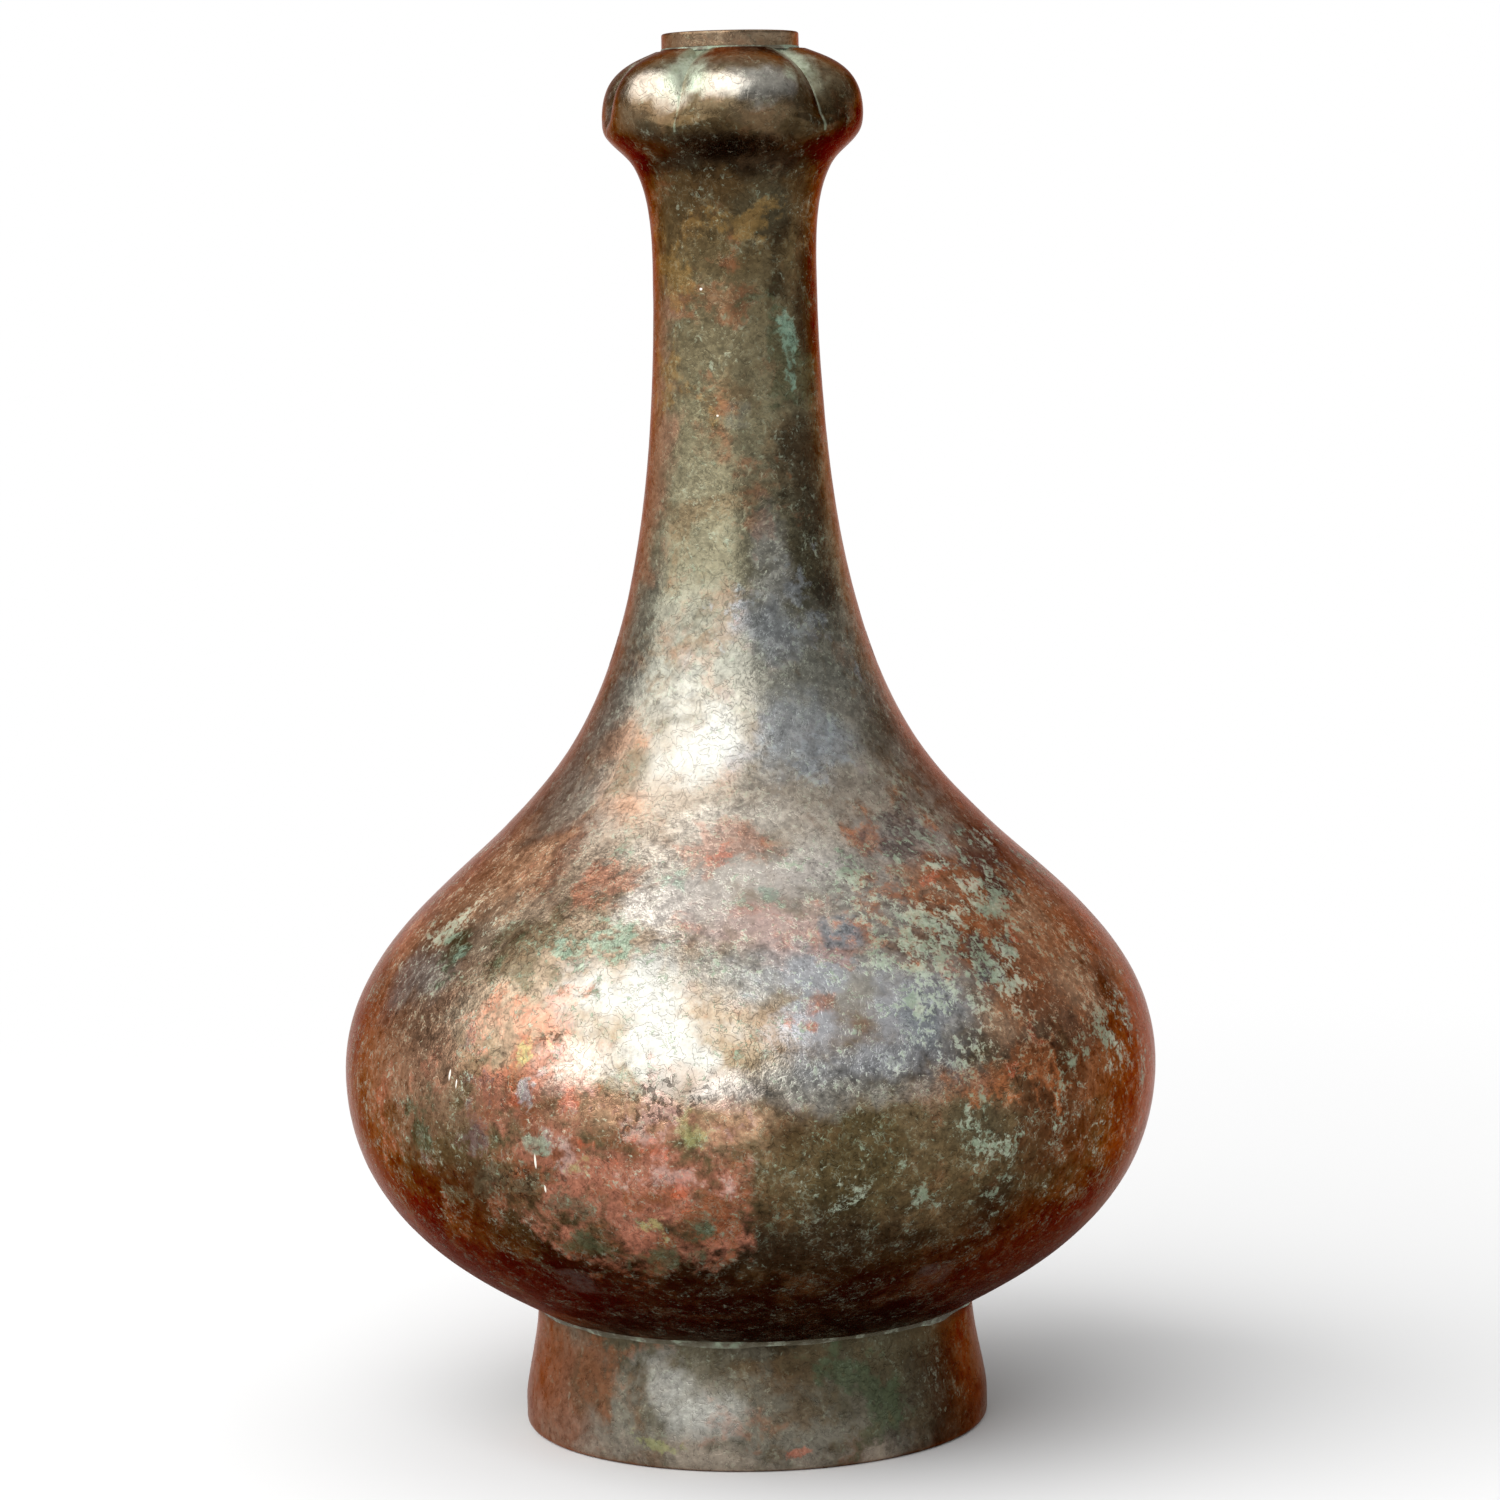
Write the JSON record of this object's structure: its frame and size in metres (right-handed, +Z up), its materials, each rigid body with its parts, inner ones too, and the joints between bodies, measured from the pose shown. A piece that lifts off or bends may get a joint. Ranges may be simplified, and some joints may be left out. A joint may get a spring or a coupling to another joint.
{
  "type": "bronze hu vessel",
  "caption": "Bronze wine vessel with a lobed garlic-head mouth, long flared neck, full round belly and flared foot ring, built from soldered cast sections.",
  "frame": {"origin": "middle of the foot ring's resting plane, on the vessel's axis", "axes": "+Z up along the axis towards the mouth, front towards -Y"},
  "size_m": [0.218, 0.218, 0.372],
  "materials": {
    "patinated_bronze": "brown to olive patina, satin gloss, red and green corrosion patches",
    "chaplet_bronze": "blue-grey patina, satin",
    "solder": "dull grey lead-tin solder with pale corrosion"
  },
  "bodies": {
    "root": {"mouth_ring": "patinated_bronze", "garlic_head": "patinated_bronze", "neck": "patinated_bronze", "shoulder": "patinated_bronze", "bowl": "patinated_bronze", "floor_plate": "patinated_bronze", "foot_ring": "patinated_bronze", "neck_chaplets": "chaplet_bronze", "shoulder_chaplets": "chaplet_bronze", "bowl_chaplets": "chaplet_bronze", "mouth_solder": "solder", "head_solder": "solder", "neck_solder": "solder", "belly_solder": "solder", "floor_solder": "solder", "foot_solder": "solder"}
  },
  "joints": []
}
